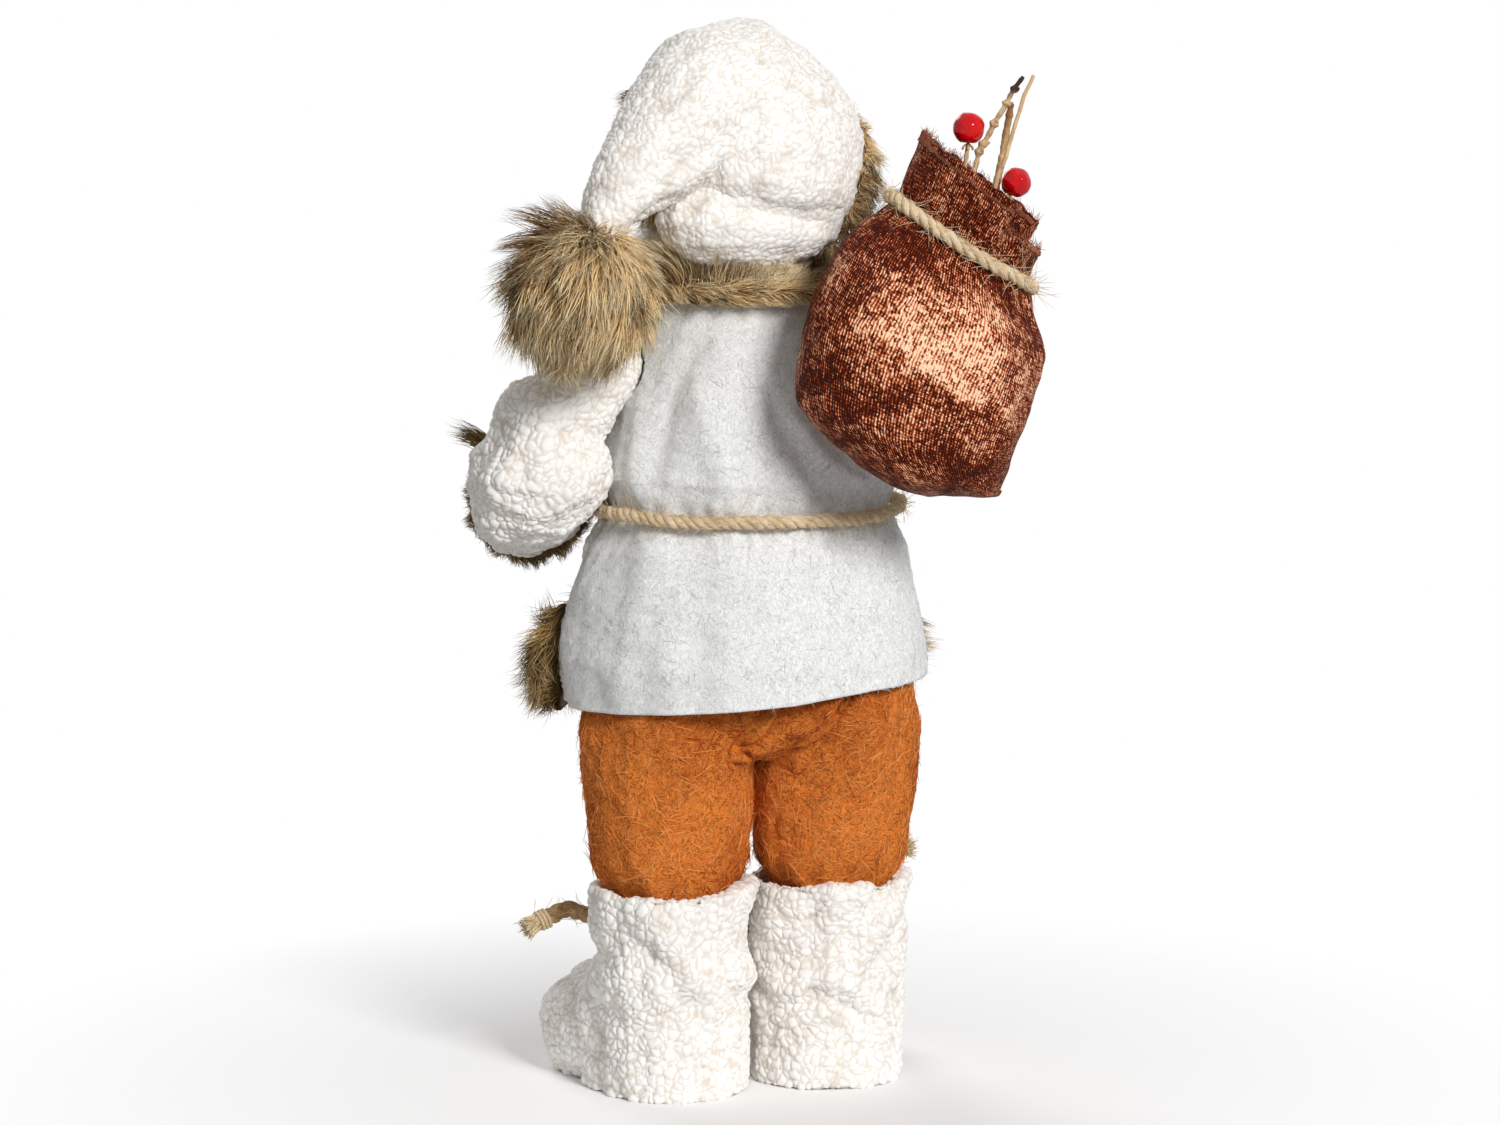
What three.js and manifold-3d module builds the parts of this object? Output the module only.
// Standing santa figure of the 45 cm class: stuffed cloth over a foam torso on two weighted boots.
// Millimetres, +Z up. The figure faces -Y and its left hand side is +X.
import * as THREE from "three";
import { mergeVertices } from "three/addons/utils/BufferGeometryUtils.js";
import Module from "manifold-3d";

const wasm = await Module();
wasm.setup();

// Driving sizes
const FIGURE_OFFSET = [-1.5, -11]; // moves the figure's axis so that the part's box is centred on the origin
const GAP = 0.3;
const SIDES = 16;
const SMOOTHING = 0.18; // small steps that cutting leaves are flattened up to this height
const HEM_Z = 165;
const WAIST_Z = 245;
const COAT_TOP_Z = 333;
const FELT = 2; // thickness of the back panel
const LEFT_SEAM = THREE.MathUtils.degToRad(14); // how far the back panel reaches round to the left front
const RIGHT_SEAM = THREE.MathUtils.degToRad(20);
const PLUSH = 6; // thickness of the coat's fronts
const PLUSH_RISE = 3; // how far the fronts stand out past the back panel's surface
const LEG_X = 35.5;
const BOOT_TOP_Z = 86;
const SOLE_TOP_Z = 3;
const FOOT_SPLAY = THREE.MathUtils.degToRad(16);
const SHOULDER = [63, 0, 306];
const SHOULDER_R = 16;
const PEG_R = 7;
const DOWEL_R = 6;
const BORE_GAP = 0.4;
const HEAD = { x: 0, y: -3, z: 387, a: 37, b: 39, c: 43 };
const CAP = { x: 2, y: 3, z: 391, a: 47, b: 51, c: 48 };
const GRIP = [-66, 21, 352]; // where the sack's twine runs through the right mitten
const SACK_TURN = THREE.MathUtils.degToRad(19); // the sack hangs turned to the figure's right

// Coat sections from hem to neck: height, half width, half depth
const COAT = [
  [HEM_Z, 76, 59.5],
  [184, 77, 60],
  [230, 66, 52],
  [WAIST_Z, 58, 45],
  [260, 62.5, 48],
  [290, 57, 46],
  [305, 51, 43],
  [320, 47, 39],
  [COAT_TOP_Z, 40, 33],
];

const figure = new THREE.Group();
figure.position.set(FIGURE_OFFSET[0], FIGURE_OFFSET[1], 0);

const vec = (x, y, z) => new THREE.Vector3(x, y, z);
const X = vec(1, 0, 0);
const Y = vec(0, 1, 0);
const Z = vec(0, 0, 1);
const range = (count) => Array.from({ length: count }, (_, i) => i);
const mirrored = (point, side) => [point[0] * side, point[1], point[2]];

function finish(color, roughness, metalness = 0) {
  return { color, roughness, metalness };
}
const SHERPA = finish(0xf1ece4, 1);
const FELT_GREY = finish(0xdcdfde, 1);
const RUST_FELT = finish(0xa9582a, 0.95);
const FUR = finish(0x8a6238, 0.9);
const JUTE = finish(0xb08b5c, 0.95);
const STRAW_TWINE = finish(0xd9bf98, 0.95);
const VELVET = finish(0x6d2a1c, 0.7);
const SKIN = finish(0xe3b193, 0.55);
const WOOL = finish(0xf4f2ee, 1);
const WOOD = finish(0xc9a878, 0.8);
const FOAM = finish(0xf5f5f2, 0.9);
const PLASTER = finish(0xb9b4ab, 0.9);
const STEEL = finish(0x8f9296, 0.4, 1);
const BERRY_RED = finish(0xc4000c, 0.15);
const GLASS_BLACK = finish(0x1a1410, 0.1);
const TWIG = finish(0xb99468, 0.85);
const MITTEN_WOOL = finish(0x6f4428, 1);
const SOLE_BOARD = finish(0x9a8468, 0.9);

// A closed skin as a solid for cutting and joining, turned to face outwards;
// triangles that shrank to a line are dropped.
function solidOf(geometry) {
  const plain = geometry.clone();
  plain.deleteAttribute("normal");
  plain.deleteAttribute("uv");
  const merged = mergeVertices(plain, 1e-3);
  const corners = merged.index.array;
  const kept = [];
  for (let i = 0; i < corners.length; i += 3) {
    const [p, q, r] = [corners[i], corners[i + 1], corners[i + 2]];
    if (p !== q && q !== r && p !== r) kept.push(p, q, r);
  }
  const vertProperties = new Float32Array(merged.attributes.position.array);
  const build = (list) =>
    new wasm.Manifold(new wasm.Mesh({ numProp: 3, vertProperties, triVerts: new Uint32Array(list) }));
  const made = build(kept);
  return made.volume() > 0 ? made : build(kept.reverse());
}

function geometryOf(solid) {
  const mesh = solid.getMesh();
  const geometry = new THREE.BufferGeometry();
  geometry.setAttribute("position", new THREE.BufferAttribute(new Float32Array(mesh.vertProperties), 3));
  geometry.setIndex(new THREE.BufferAttribute(new Uint32Array(mesh.triVerts), 1));
  geometry.computeVertexNormals();
  return geometry;
}

function piece(name, solid, look, smoothing = SMOOTHING) {
  const mesh = new THREE.Mesh(geometryOf(solid.simplify(smoothing)), new THREE.MeshStandardMaterial(look));
  mesh.name = name;
  figure.add(mesh);
}

const join = (solids) => solids.reduce((whole, solid) => whole.add(solid));
const cut = (solid, ...tools) => tools.reduce((left, tool) => left.subtract(tool), solid);

// Skin over a row of rings with the same number of points; a ring of one point closes an end.
function loft(rings) {
  const rows = [...rings];
  const middle = (ring) => ring.reduce((sum, p) => sum.add(p), vec(0, 0, 0)).divideScalar(ring.length);
  if (rows[0].length > 1) rows.unshift([middle(rows[0])]);
  if (rows.at(-1).length > 1) rows.push([middle(rows.at(-1))]);
  const corners = [];
  for (let i = 0; i + 1 < rows.length; i++) {
    const [low, high] = [rows[i], rows[i + 1]];
    const count = Math.max(low.length, high.length);
    for (let k = 0; k < count; k++) {
      const next = (k + 1) % count;
      if (low.length > 1) corners.push(low[k], low[next], high[high.length > 1 ? next : 0]);
      if (high.length > 1) corners.push(low[low.length > 1 ? k : 0], high[next], high[k]);
    }
  }
  return solidOf(new THREE.BufferGeometry().setFromPoints(corners));
}

// Oval ring round a centre, along two directions.
function oval(centre, along, across, a, b, sides = SIDES) {
  return range(sides).map((i) => {
    const turn = (2 * Math.PI * i) / sides;
    const point = centre.clone().addScaledVector(along, a * Math.cos(turn));
    return point.addScaledVector(across, b * Math.sin(turn));
  });
}
const level = (x, y, z, a, b, sides) => oval(vec(x, y, z), X, Y, a, b, sides);

function ellipsoid(centre, a, b, c, grow = 0, sides = 14) {
  const ball = new THREE.SphereGeometry(1, sides, Math.round(sides * 0.6));
  ball.rotateX(Math.PI / 2);
  ball.scale(a + grow, b + grow, c + grow);
  ball.translate(...centre);
  return solidOf(ball);
}

// Tapered stick with round ends.
function capsule(from, to, fromR, toR, sides = 12) {
  const start = vec(...from);
  const end = vec(...to);
  const along = end.clone().sub(start).normalize();
  const level = Z.clone().cross(along);
  const side = level.lengthSq() > 0.01 ? level.normalize() : X.clone();
  const across = along.clone().cross(side);
  const bulge = Math.PI / 4;
  const ring = (middle, radius, rise) => {
    const r = radius * Math.cos(rise);
    return oval(middle.clone().addScaledVector(along, radius * Math.sin(rise)), side, across, r, r, sides);
  };
  return loft([
    [start.clone().addScaledVector(along, -fromR)],
    ring(start, fromR, -bulge),
    ring(start, fromR, 0),
    ring(end, toR, 0),
    ring(end, toR, bulge),
    [end.clone().addScaledVector(along, toR)],
  ]);
}

// Stuffed limb: tapered sticks end to end, all grown or shrunk by the same amount.
function limb(points, radii, grow = 0, sides = 12) {
  return join(
    range(points.length - 1).map((i) =>
      capsule(points[i], points[i + 1], radii[i] + grow, radii[i + 1] + grow, sides),
    ),
  );
}

const curveThrough = (points, closed = false) =>
  new THREE.CatmullRomCurve3(points.map((p) => vec(...p)), closed);

// Round body along a curve whose thickness changes from point to point, with blunt ends.
function taper(points, radii, grow = 0, sides = SIDES) {
  const curve = curveThrough(points);
  const steps = 2 * (points.length - 1);
  const frames = curve.computeFrenetFrames(steps, false);
  const rings = range(steps + 1).map((i) => {
    const place = i / 2;
    const low = Math.floor(place);
    const high = Math.min(low + 1, radii.length - 1);
    const r = THREE.MathUtils.lerp(radii[low], radii[high], place - low) + grow;
    return oval(curve.getPoint(i / steps), frames.normals[i], frames.binormals[i], r, r, sides);
  });
  return loft(rings);
}

// Round bar along a curve, with flat ends.
function bar(curve, radius, steps, sides = 8) {
  const outline = new THREE.Shape().absarc(0, 0, radius, 0, 2 * Math.PI);
  const settings = { steps, extrudePath: curve, curveSegments: sides / 2, bevelEnabled: false };
  return solidOf(new THREE.ExtrudeGeometry(outline, settings));
}

const closedRope = (curve, radius, steps, sides = 8) =>
  solidOf(new THREE.TubeGeometry(curve, steps, radius, sides, true));

function post(x, y, fromZ, toZ, radius, sides = 14) {
  const rod = new THREE.CylinderGeometry(radius, radius, toZ - fromZ, sides);
  rod.rotateX(Math.PI / 2);
  rod.translate(x, y, (fromZ + toZ) / 2);
  return solidOf(rod);
}

// Half width and half depth of the coat at a height.
function coatAt(z) {
  if (z <= COAT[0][0]) return [COAT[0][1], COAT[0][2]];
  const above = COAT.findIndex((section) => section[0] >= z);
  if (above < 0) return [COAT.at(-1)[1], COAT.at(-1)[2]];
  const [low, high] = [COAT[above - 1], COAT[above]];
  const share = (z - low[0]) / (high[0] - low[0]);
  return [THREE.MathUtils.lerp(low[1], high[1], share), THREE.MathUtils.lerp(low[2], high[2], share)];
}

// Solid inside the coat's surface moved out by some amount.
function coatBody(heights, grow, sides = 24) {
  return loft(
    heights.map((z) => {
      const [a, b] = coatAt(z);
      const out = typeof grow === "function" ? grow(z) : grow;
      return level(0, 0, z, a + out, b + out, sides);
    }),
  );
}

// Torso and what stands under it

function torsoCore() {
  const sections = [
    [166, 56, 37],
    [185, 57.5, 40],
    [205, 52.5, 37],
    [222, 56, 42],
    [WAIST_Z, 53.5, 40.5],
    [262, 57.5, 43],
    [290, 53, 42],
    [305, 44, 38],
    [320, 40, 33],
    [331, 33, 27],
  ];
  const body = loft(sections.map(([z, a, b]) => level(0, 0, z, a, b, 14)));
  const legBores = [-1, 1].map((side) => post(side * LEG_X, 0, 150, 211, DOWEL_R + BORE_GAP));
  const armBores = [-1, 1].map((side) => armWire(side, WIRE_R + BORE_GAP));
  return cut(body, post(0, HEAD.y, 298, 340, PEG_R + BORE_GAP), ...legBores, ...armBores);
}

function trousers() {
  // Height, half width, half depth, how far the leg's middle is outside the boot's
  const legSections = [
    [66, 25.5, 25.5, 0],
    [BOOT_TOP_Z, 26.5, 26.5, 0],
    [97, 33, 32, 0.3],
    [115, 35.4, 35, 0.4],
    [140, 36.5, 39, 1.2],
    [152, 36.5, 41, 1.2],
    [165, 34.5, 43.5, 0],
    [185, 33, 44.5, -1],
    [205, 28, 41, -3],
  ];
  const seatSections = [
    [140, 50, 18],
    [150, 64, 32],
    [160, 69, 43],
    [180, 68, 48.5],
    [205, 60, 44],
  ];
  const last = seatSections.length - 1;
  const form = (inset, drop, sides) => {
    const ring = (x, z, a, b) => level(x, 0, z, a - inset, b - inset, sides);
    const legs = [-1, 1].map((side) =>
      loft(legSections.map(([z, a, b, out], i) => ring(side * (LEG_X + out), i ? z : z - drop, a, b))),
    );
    const seat = loft(seatSections.map(([z, a, b], i) => ring(0, i === last ? z + drop : z, a, b)));
    return join([...legs, seat]);
  };
  return cut(form(0, 0, 16), form(FELT + 0.5, 1, 10));
}

function legPadding(side) {
  const sections = [
    [64, 22],
    [BOOT_TOP_Z, 23],
    [97, 26.5],
    [115, 28.5],
    [140, 29],
    [163, 28],
  ];
  const body = loft(sections.map(([z, r]) => level(side * LEG_X, 0, z, r, r, 10)));
  return cut(body, post(side * LEG_X, 0, 50, 180, DOWEL_R + BORE_GAP));
}

// Places a solid made round the ankle, toe towards -Y, at its foot.
function atFoot(solid, side) {
  const degrees = THREE.MathUtils.radToDeg(FOOT_SPLAY) * side;
  return solid.rotate([0, 0, degrees]).translate([side * LEG_X, 0, 0]);
}

function bootForm(inset, fromZ, toZ, sides = SIDES) {
  const ring = (z, r) => level(0, 0, z, r - inset, r - inset, sides);
  const shaft = loft([ring(fromZ, 30.3), ring(30, 30.3), ring(60, 31.3), ring(toZ, 32.6)]);
  const toe = ellipsoid([0, -43, 19], 30.5, 33, 27, -inset, sides);
  const instep = capsule([0, -6, 36], [0, -34, 22], 28.5 - inset, 24 - inset);
  return join([shaft, toe, instep]).trimByPlane([0, 0, 1], fromZ);
}

function boot(side) {
  const inside = bootForm(PLUSH, 0, BOOT_TOP_Z + 2, 12).add(post(0, 0, 63, BOOT_TOP_Z + 2, 27.6, SIDES));
  return atFoot(cut(bootForm(0, SOLE_TOP_Z + GAP, BOOT_TOP_Z), inside), side);
}

function footWeight(side) {
  const body = bootForm(PLUSH + 0.5, SOLE_TOP_Z + GAP, 90, 12).trimByPlane([0, 0, -1], -62);
  return cut(atFoot(body, side), post(side * LEG_X, 0, 10, 70, DOWEL_R + BORE_GAP));
}

function sole(side) {
  const [heelR, toeR, toeAhead] = [28, 27.5, 43];
  const outline = new THREE.Shape();
  outline.absarc(0, 0, heelR, 0, Math.PI);
  outline.absarc(0, -toeAhead, toeR, Math.PI, 2 * Math.PI);
  const settings = { depth: SOLE_TOP_Z, bevelEnabled: false, curveSegments: 8 };
  return atFoot(solidOf(new THREE.ExtrudeGeometry(outline, settings)), side);
}

// Coat

// Gathers under the belt, slow waves towards the hem and the left edge that stands away from the front,
// as a distance out from the coat's surface.
function backFold(turn, z) {
  const gather = 1.4 * Math.cos(11 * turn) * Math.exp(-(((z - WAIST_Z) / 16) ** 2));
  const below = Math.max(0, WAIST_Z - z) / (WAIST_Z - HEM_Z);
  const edgeFlare = Math.exp(-(((turn + LEFT_SEAM) / 0.4) ** 2)) * Math.exp(-(((z - 205) / 24) ** 2));
  return gather + 1.8 * below * Math.cos(5 * turn + 0.6) + 5 * edgeFlare;
}

// The back panel's lower edge hangs lowest near its rounded left corner and rises towards the right seam.
function backHem(turn) {
  const corner = 7 * Math.exp(-(((turn + LEFT_SEAM) / 0.1) ** 2));
  return HEM_Z - 1.3 + 5.3 * (1 - Math.cos(turn)) + 1.5 * Math.sin(turn) + corner;
}

function backPanel() {
  const heights = [HEM_Z, 184, 206, 230, 237, WAIST_Z, 253, 262, 290, 305, 320, COAT_TOP_Z];
  const columns = 22;
  const edge = 0.038; // the panel stops just short of the side seams
  const wrap = Math.PI + LEFT_SEAM + RIGHT_SEAM - 2 * edge;
  const skin = (height, out) =>
    range(columns + 1).map((i) => {
      const turn = edge - LEFT_SEAM + (wrap * i) / columns;
      const z = height === HEM_Z ? backHem(turn) : height;
      const [a, b] = coatAt(z);
      const grow = backFold(turn, z) + out;
      return vec((a + grow) * Math.cos(turn), (b + grow) * Math.sin(turn), z);
    });
  const rings = heights.map((z) => [...skin(z, 0), ...skin(z, -FELT).reverse()]);
  return loftStrip(rings);
}

// Like loft, for bent strips: the end caps are ladders between the two faces, not fans.
function loftStrip(rings) {
  const count = rings[0].length;
  const corners = [];
  const quad = (p, q, r, s) => corners.push(p, q, r, p, r, s);
  for (let i = 0; i + 1 < rings.length; i++) {
    for (let k = 0; k < count; k++) {
      const next = (k + 1) % count;
      quad(rings[i][k], rings[i][next], rings[i + 1][next], rings[i + 1][k]);
    }
  }
  for (let k = 0; k + 1 < count / 2; k++) {
    const [far, farNext] = [count - 1 - k, count - 2 - k];
    const [first, last] = [rings[0], rings.at(-1)];
    quad(first[far], first[farNext], first[k + 1], first[k]);
    quad(last[k], last[k + 1], last[farNext], last[far]);
  }
  return solidOf(new THREE.BufferGeometry().setFromPoints(corners));
}

// Opening round the sleeve's top, turned about the shoulder's line so that the arm can swing in it
function armhole(side) {
  const profile = [[0, 45], [9, 46], [15, 50], [18, 55], [22.5, 60], [28.5, 66], [37, 75], [0, 75]];
  const room = new THREE.LatheGeometry(profile.map(([r, x]) => new THREE.Vector2(r, x)), SIDES);
  room.rotateZ(-Math.PI / 2);
  room.scale(side, 1, 1);
  room.translate(0, SHOULDER[1], SHOULDER[2]);
  return solidOf(room);
}

function frontPanel(side) {
  const heights = COAT.map((section) => section[0]);
  const skin = coatBody(heights, PLUSH_RISE).subtract(
    coatBody([HEM_Z - 4, ...heights, COAT_TOP_Z + 4], PLUSH_RISE - PLUSH),
  );
  const level = (turn) => Math.atan(0.79 * Math.tan(turn)); // the coat is 0.79 as deep as it is wide
  const seam = side > 0 ? level(-LEFT_SEAM) : level(RIGHT_SEAM);
  const front = skin.trimByPlane([Math.sin(seam), -Math.cos(seam), 0], GAP);
  return cut(front.trimByPlane([side, 0, 0], GAP), armhole(side));
}

function hemBand() {
  const rise = { 158: 8, 166: 14, 182: 17.5, 197: 14, 206: 7 };
  const outside = coatBody(Object.keys(rise).map(Number), (z) => rise[z]);
  const inside = coatBody([145, HEM_Z, 184, 212], PLUSH_RISE + 0.4);
  const reach = Math.atan2(12, 165); // the band reaches further round on the left than on the right
  return outside.subtract(inside).trimByPlane([Math.sin(reach), -Math.cos(reach), 0], 22.4);
}

function placket(heights) {
  const [halfWidth, halfDepth] = [12, 4];
  const rings = heights.map((z) =>
    level(0, -(coatAt(z)[1] + PLUSH_RISE + GAP + halfDepth), z, halfWidth, halfDepth, 14),
  );
  return loft(rings);
}

function collar() {
  const roll = new THREE.TorusGeometry(37, 8, 8, 22);
  roll.scale(1, 0.95, 0.57);
  roll.translate(0, 1, 338.4);
  return solidOf(roll);
}

const BELT_R = 2.9;
const BELT_OUT = 6.7; // from the coat's surface to the middle of the twine

function belt() {
  const [a, b] = coatAt(WAIST_Z);
  const points = range(16).map((i) => {
    const turn = (2 * Math.PI * i) / 16;
    return [(a + BELT_OUT) * Math.cos(turn), (b + BELT_OUT) * Math.sin(turn), WAIST_Z];
  });
  return closedRope(curveThrough(points, true), BELT_R, 36);
}

function beltKnot() {
  const front = -(coatAt(WAIST_Z)[1] + BELT_OUT + BELT_R + 0.6);
  const knot = ellipsoid([0, front - 5, WAIST_Z], 7.5, 5, 6.5, 0, 10);
  const end = (side) =>
    capsule([side * 3, front - 6, WAIST_Z - 4], [side * 10, front - 17, WAIST_Z - 21], 2.7, 2.9, 8);
  return join([knot, end(-1), end(1)]);
}

// Boot ties: a knot on each boot's front and two free tails

const TIE_R = 3.6;
const FRAY_R = 5;
const INNER_TAIL = [[34, -42, 68], [25, -46, 62], [16, -48, 52], [11, -49, 40]];
const LEFT_OUTER_TAIL = [[49.5, -40, 71], [59, -39, 67], [69, -37.5, 70.5], [78, -37, 67.5]];
const RIGHT_OUTER_TAIL = [[-49.5, -40, 74], [-58, -39, 79], [-67, -37, 84], [-75, -36, 86]];

function bootKnot(side) {
  return ellipsoid([side * 41, -39.5, 72], 7.5, 6.5, 7, 0, 10);
}

// A tail of rope that ends in a thicker frayed tuft.
function bootTail(points) {
  const end = vec(...points.at(-1));
  const along = end.clone().sub(vec(...points.at(-2))).normalize();
  const tip = end.clone().addScaledVector(along, 8);
  const tuft = capsule(end.toArray(), tip.toArray(), FRAY_R - 0.6, FRAY_R, 8);
  return bar(curveThrough(points), TIE_R, 3 * (points.length - 1)).add(tuft);
}

// Arms

const WIRE_R = 1.6;
const WIRE_STEPS = 22;
const WIRE_SMOOTHING = 0.01; // the wire is so thin that more would flatten its bends
const ARM = {
  1: {
    points: [SHOULDER, [91, 3, 284], [95.5, 2, 259], [81, -52, 243]],
    radii: [SHOULDER_R, 18.5, 25, 21],
    wrist: [81, -54, 242],
    heading: vec(-0.397, -0.917, 0.03).normalize(),
    reach: 34,
    handR: [14.4, 13],
    cuffR: [16, 27],
    thumb: [[73, -70, 252], [64, -78, 263]],
  },
  [-1]: {
    points: [mirrored(SHOULDER, -1), [-96, -40, 294], [-76, 2, 334]],
    radii: [SHOULDER_R, 21, 18],
    wrist: [-75, 4, 336],
    heading: vec(0.369, 0.673, 0.641).normalize(),
    reach: 26,
    handR: [12, 12.5],
    cuffR: [13.6, 21.5],
    thumb: [[-67, 14, 358], [-60, 22, 364]],
  },
};

// A point past the wrist, in the direction that the hand points.
const along = (side, distance) =>
  vec(...ARM[side].wrist).addScaledVector(ARM[side].heading, distance).toArray();

// Wire from inside the torso, along the shoulder's turning line, to the mitten.
function armWire(side, radius = WIRE_R) {
  const [shoulder, ...rest] = ARM[side].points;
  const inner = [[side * 34, 0, SHOULDER[2]], [side * 48, 0, SHOULDER[2]], shoulder];
  const route = [...inner, ...rest.slice(0, -1), along(side, 0), along(side, 12)];
  return bar(curveThrough(route), radius, WIRE_STEPS, 6);
}

// Keeps the part of an arm's solid before the wrist.
function endAtWrist(solid, side) {
  const { heading, wrist } = ARM[side];
  const stop = vec(...wrist).dot(heading);
  return solid.trimByPlane(heading.clone().negate().toArray(), -stop);
}

// Sleeve with its wadding, bored for the wire
function sleeve(side) {
  const { points, radii } = ARM[side];
  return cut(endAtWrist(limb(points, radii), side), armWire(side, WIRE_R + BORE_GAP));
}

function cuff(side) {
  const [innerR, outerR] = ARM[side].cuffR;
  const [half, middle] = [8.5, (innerR + outerR) / 2];
  const thick = (outerR - innerR) / 2;
  const profile = range(9).map((i) => {
    const turn = (2 * Math.PI * i) / 8;
    return new THREE.Vector2(middle + thick * Math.cos(turn), half * Math.sin(turn));
  });
  const ring = new THREE.LatheGeometry(profile, SIDES);
  ring.applyQuaternion(new THREE.Quaternion().setFromUnitVectors(Y, ARM[side].heading));
  ring.translate(...along(side, half + 0.5));
  return solidOf(ring);
}

function mitten(side) {
  const { reach, handR, thumb } = ARM[side];
  const palm = capsule(along(side, handR[0] + 0.4), along(side, reach), ...handR);
  const hand = join([palm, capsule(...thumb, 5.5, 5, 10)]);
  return cut(hand, armWire(side, WIRE_R + BORE_GAP));
}

// Head

const BRIM_THICK = 6;
const brimSlope = Math.atan2(65, 95); // the cap's edge runs from the forehead down to the nape
const brimUp = [0, Math.sin(brimSlope), Math.cos(brimSlope)];
const brimEdge = 50 * brimUp[1] + 345 * brimUp[2]; // the edge's height at the nape, measured along brimUp
const headForm = (grow) => ellipsoid([HEAD.x, HEAD.y, HEAD.z], HEAD.a, HEAD.b, HEAD.c, grow, 12);
const capForm = (grow) => ellipsoid([CAP.x, CAP.y, CAP.z], CAP.a, CAP.b, CAP.c, grow, 18);
const EYE = [13, -37.5, 391];
const EYE_R = 4.2;
const eye = (side, grow = 0) => ellipsoid(mirrored(EYE, side), EYE_R, EYE_R, EYE_R, grow, 10);

// Head with its nose and cheeks
function faceForm(grow) {
  const nose = ellipsoid([0, -44, 380], 7, 7, 6.5, grow, 12);
  const cheeks = [-1, 1].map((side) => ellipsoid([side * 16, -31, 375], 12, 11, 11, grow, 12));
  return join([headForm(grow), nose, ...cheeks]);
}

function head() {
  return cut(faceForm(0), post(0, HEAD.y, 330, 376, PEG_R + BORE_GAP), eye(1, GAP), eye(-1, GAP));
}

const brow = (side) =>
  cut(capsule([side * 8, -42.5, 400], [side * 19, -37, 399], 2.6, 1.9, 8), faceForm(0.35));

const moustacheForm = (grow) =>
  join([-1, 1].map((side) => capsule([side * 3, -47, 371.5], [side * 21, -41, 364], 5 + grow, 2 + grow, 10)));

const moustache = () => cut(moustacheForm(0), faceForm(0.35));

// Room that the beard leaves for the coat's front and collar while the head turns.
function beardRoom() {
  const side = [[62, 240], [58.5, 290], [55.5, 305], [51.5, 320], [47.5, 333], [47.5, 345.5]];
  const profile = [[0, 240], ...side, [0, 345.5]];
  const room = new THREE.LatheGeometry(profile.map(([r, z]) => new THREE.Vector2(r, z)), 24);
  room.rotateX(Math.PI / 2);
  return solidOf(room);
}

function beard() {
  const jaw = ellipsoid([0, -27, 360], 34, 22, 21, 0, 12);
  const fall = ellipsoid([0, -53, 326], 29, 15, 38, 0, 12);
  return cut(join([jaw, fall]), faceForm(0.4), moustacheForm(0.4), beardRoom());
}

const TAIL = {
  points: [[-6, 2, 401], [19, 16, 417], [38, 28, 406], [59, 36, 389], [72, 41, 377], [78, 43, 366]],
  radii: [35, 34.5, 26, 18, 12.5, 8.5],
};
const napeFold = (grow) => ellipsoid([10, 30, 367], 40, 22, 20, grow, 14); // the cloth hangs over the nape

function cap() {
  const dome = capForm(0).add(taper(TAIL.points, TAIL.radii)).trimByPlane(brimUp, brimEdge);
  return cut(dome.add(napeFold(0)), headForm(0.8));
}

function brim() {
  const covered = join([capForm(0.5), taper(TAIL.points, TAIL.radii, 0.5), napeFold(0.5)]);
  const low = capForm(BRIM_THICK).subtract(covered).trimByPlane(brimUp, brimEdge - 3);
  const slab = low.trimByPlane(brimUp.map((n) => -n), -(brimEdge + 24));
  return slab.trimByPlane([0, -1, 0], -32);
}

function pom() {
  const ball = ellipsoid([85, 46, 340], 22, 22, 22, 0, 16);
  return ball.add(capsule([79.5, 44.4, 356], [78.3, 43.8, 361.3], 2.5, 1.8, 10));
}

// Sack, built in its own turned directions: across the view, towards the back, up

const sackAcross = vec(-Math.cos(SACK_TURN), Math.sin(SACK_TURN), 0);
const sackBack = vec(Math.sin(SACK_TURN), Math.cos(SACK_TURN), 0);
const sackPoint = (across, back, z) =>
  vec(0, 0, z).addScaledVector(sackAcross, across).addScaledVector(sackBack, back);

// Sections from the base to the mouth: across, back, height, half width, half depth, tilt in degrees
const SACK = [
  [84, 66, 258.5, 13, 8, 3],
  [80, 66, 261, 22, 16, 6],
  [71, 66, 266.5, 31, 23, 12],
  [64, 66, 277, 41, 28.5, 17],
  [62, 66, 286, 46, 31, 20],
  [66.5, 66, 307.5, 50, 32.5, 25],
  [72, 64, 322, 50.5, 31, 31],
  [79.5, 60, 339, 47, 25, 33],
  [82, 56, 352, 37.5, 17.5, 33],
  [85, 54, 360, 31.5, 13.5, 33],
  [87.5, 53, 366, 30.5, 15, 33],
  [91.5, 52, 374.5, 31, 18, 36],
  [95, 52, 382.5, 32, 20, 38],
];
const NECK = SACK[9];
const MOUTH_LOBES = 3;
const SACK_SIDES = 20;

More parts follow.
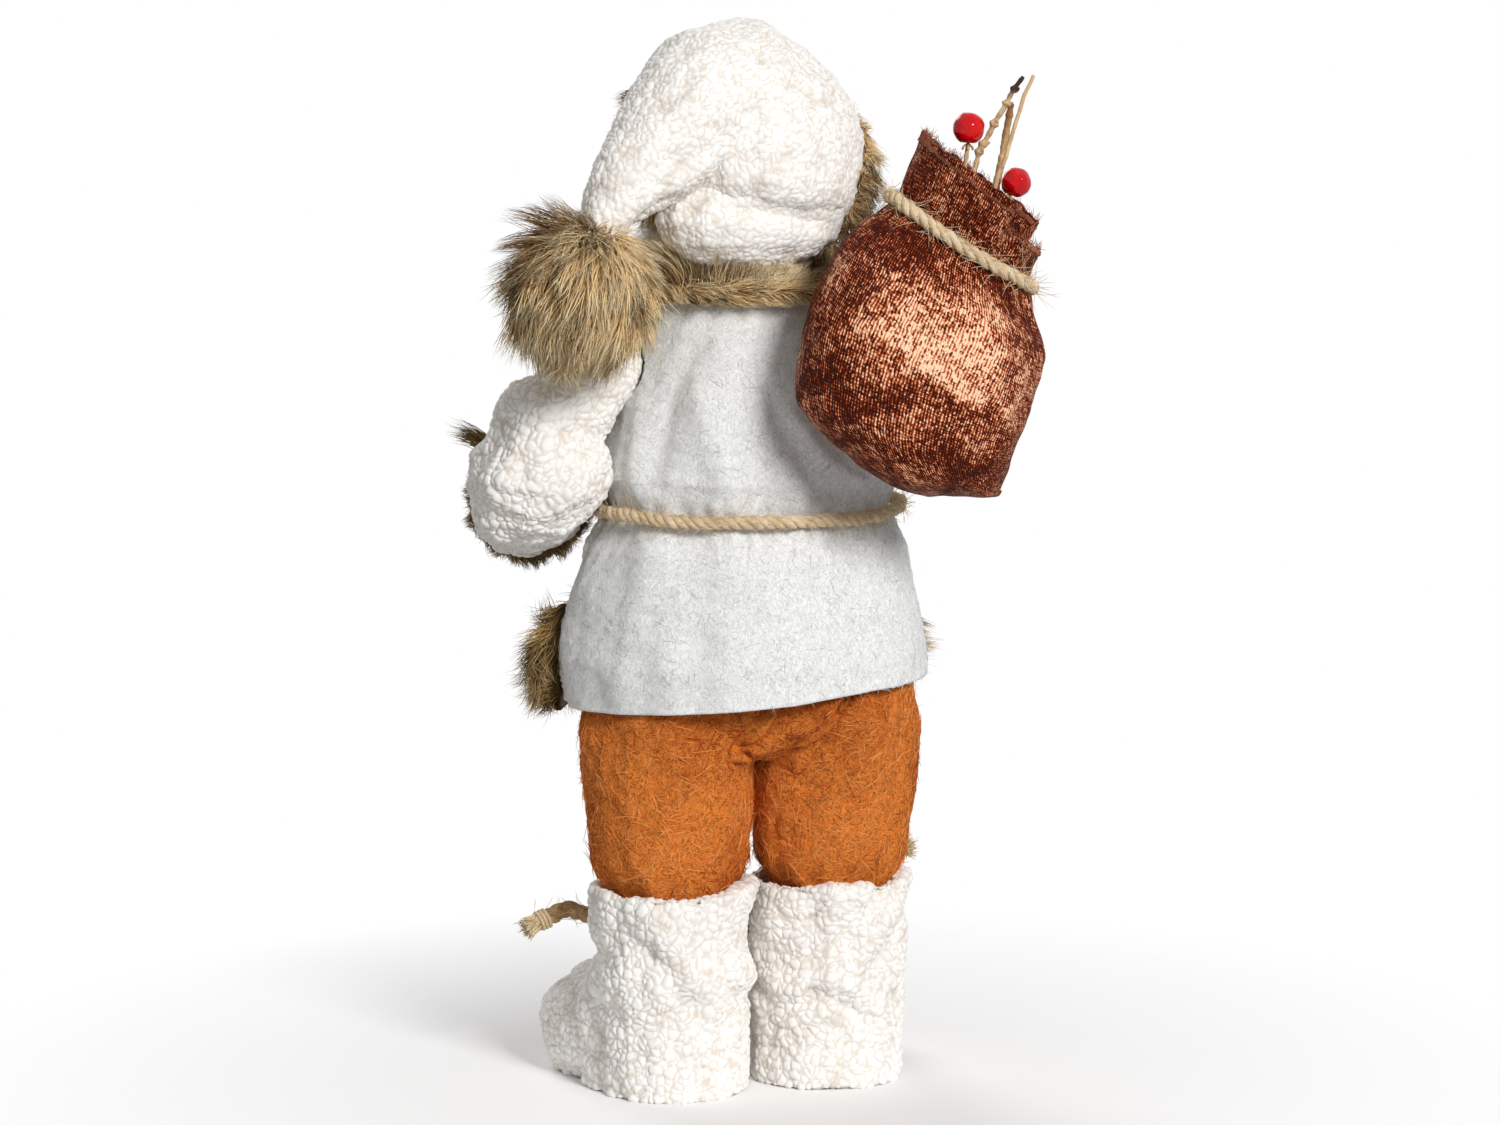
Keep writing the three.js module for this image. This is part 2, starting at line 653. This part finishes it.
// One section of the bag as a ring; past the neck its edge waves in lobes.
function sackRing(section, inset) {
  const [across, back, z, a, b, tilt] = section;
  const lean = THREE.MathUtils.degToRad(tilt);
  const wide = sackAcross.clone().multiplyScalar(Math.cos(lean)).addScaledVector(Z, -Math.sin(lean));
  const up = sackAcross.clone().multiplyScalar(Math.sin(lean)).addScaledVector(Z, Math.cos(lean));
  const wave = Math.max(0, z - NECK[2]) / (SACK.at(-1)[2] - NECK[2]);
  const ring = oval(sackPoint(across, back, z), wide, sackBack, a - inset, b - inset, SACK_SIDES);
  return ring.map((p, i) => {
    const turn = (2 * Math.PI * i) / SACK_SIDES;
    const lobe = Math.cos(2 * MOUTH_LOBES * turn);
    const out = wide.clone().multiplyScalar(Math.cos(turn)).addScaledVector(sackBack, Math.sin(turn));
    return p.addScaledVector(up, 3 * wave * lobe).addScaledVector(out, 2.5 * wave * lobe);
  });
}

function sackBag() {
  const inside = SACK.slice(1).map((section) => sackRing(section, FELT));
  const rim = sackRing(SACK.at(-1), FELT).map((p) => p.add(vec(-3, 0, 8)));
  const base = sackRing([74, 66, 264.5, 22, 14, 9.5], 0);
  return cut(loft(SACK.map((section) => sackRing(section, 0))), loft([base, ...inside.slice(1), rim]));
}

function sackStuffing() {
  const base = sackRing([73, 66, 267.5, 19, 11, 11], 0);
  return loft([base, ...SACK.slice(3, 8).map((section) => sackRing(section, FELT + 1))]);
}

const TWINE_R = 2.8;
const LOOP_R = 2.2;

// Twine round the neck, with a loop that runs through the mitten.
function sackTie() {
  const [across, back, z, a, b] = NECK;
  const out = TWINE_R + 1.3;
  const ring = sackRing([across, back, z, a + out, b + out, NECK[5]], 0);
  const round = closedRope(new THREE.CatmullRomCurve3(ring, true), TWINE_R, 28);
  const [gripX, gripY, gripZ] = GRIP;
  const loop = curveThrough([
    [-57.9, 59.7, 368],
    [-49, 44.5, 361.5],
    [gripX + 21, gripY + 7, gripZ + 2],
    [gripX + 16.5, gripY, gripZ],
    [gripX, gripY, gripZ],
    [gripX - 16.5, gripY, gripZ],
    [gripX - 21, gripY + 7, gripZ + 1],
    [-86, 48, 351],
    [-81.9, 67.7, 351],
  ]);
  return round.add(bar(loop, LOOP_R, 18));
}

function gripHole() {
  const [x, y, z] = GRIP;
  return bar(curveThrough([[x - 20, y, z], [x + 20, y, z]]), LOOP_R + 0.9, 1, 12);
}

// Twigs and berries that stand in the sack's mouth, in the sack's own directions
const KNOBBLY = [[80, 51, 354], [88, 51, 383], [96, 50, 403], [110, 50, 426]];
const THIN = [[88, 57, 353], [98.5, 57.5, 383], [113, 58, 427]];
const STEM = [[92, 47, 351], [101, 44.5, 389], [105.4, 43, 415]];
const sackCurve = (points) => new THREE.CatmullRomCurve3(points.map((p) => sackPoint(...p)));
const BERRY = [
  { place: [88, 52, 405.5], r: 6.7, stem: [[83, 56, 356], [85, 55, 378], [87.7, 52.4, 398.4]] },
  { place: [107, 57.5, 384], r: 6.2, stem: [[93, 58, 353], [99, 60.5, 369], [104.1, 58.5, 378.2]] },
];

function berry({ place, r }) {
  return ellipsoid(sackPoint(...place).toArray(), r, r, r, 0, 12);
}

// All the pieces

piece("torso_core", torsoCore(), FOAM);
piece("neck_peg", post(0, HEAD.y, 299, 375, PEG_R), WOOD);
piece("trousers", trousers(), RUST_FELT);
for (const [name, side] of [["left", 1], ["right", -1]]) {
  piece(`${name}_leg_dowel`, post(side * LEG_X, 0, 11, 210, DOWEL_R), WOOD);
  piece(`${name}_leg_padding`, legPadding(side), WOOL);
  piece(`${name}_foot_weight`, footWeight(side), PLASTER);
  piece(`${name}_boot`, boot(side), SHERPA);
  piece(`${name}_boot_sole`, sole(side), SOLE_BOARD);
  piece(`${name}_boot_tie_knot`, bootKnot(side), JUTE);
  piece(`${name}_boot_tie_inner_tail`, bootTail(INNER_TAIL.map((p) => mirrored(p, side))), JUTE);
  piece(`${name}_coat_front`, frontPanel(side), SHERPA);
  piece(`${name}_sleeve`, sleeve(side), SHERPA);
  piece(`${name}_arm_wire`, armWire(side), STEEL, WIRE_SMOOTHING);
  piece(`${name}_cuff`, cuff(side), FUR);
  piece(`${name}_mitten`, side > 0 ? mitten(side) : cut(mitten(side), gripHole()), MITTEN_WOOL);
  piece(`${name}_eye`, eye(side), GLASS_BLACK);
  piece(`${name}_brow`, brow(side), WOOL);
}
piece("left_boot_tie_outer_tail", bootTail(LEFT_OUTER_TAIL), JUTE);
piece("right_boot_tie_outer_tail", bootTail(RIGHT_OUTER_TAIL), JUTE);
piece("coat_back", cut(backPanel(), armhole(1), armhole(-1)), FELT_GREY);
piece("coat_hem_fur", hemBand(), FUR);
piece("coat_edge_fur_lower", placket([207, 216, 228]), FUR);
piece("coat_edge_fur_upper", placket([251.5, 260, 290, 305, 320, 326]), FUR);
piece("fur_collar", collar(), FUR);
piece("belt_twine", belt(), JUTE);
piece("belt_knot", beltKnot(), JUTE);
piece("head", head(), SKIN);
piece("moustache", moustache(), WOOL);
piece("beard", beard(), WOOL);
piece("cap", cap(), SHERPA);
piece("cap_brim", brim(), FUR);
piece("cap_pom", pom(), FUR);
piece("sack_bag", sackBag(), VELVET);
piece("sack_stuffing", sackStuffing(), WOOL);
piece("sack_tie", sackTie(), STRAW_TWINE);
piece("twig_knobbly", bar(sackCurve(KNOBBLY), 1.9, 8), TWIG);
piece("twig_thin", bar(sackCurve(THIN), 1.3, 5), TWIG);
piece("twig_stem", bar(sackCurve(STEM), 2.5, 5, 10), TWIG);
piece("berry_upper", berry(BERRY[0]), BERRY_RED);
piece("berry_lower", berry(BERRY[1]), BERRY_RED);
piece("berry_upper_stem", bar(sackCurve(BERRY[0].stem), 0.9, 5), TWIG);
piece("berry_lower_stem", bar(sackCurve(BERRY[1].stem), 0.9, 5), TWIG);

export default figure;
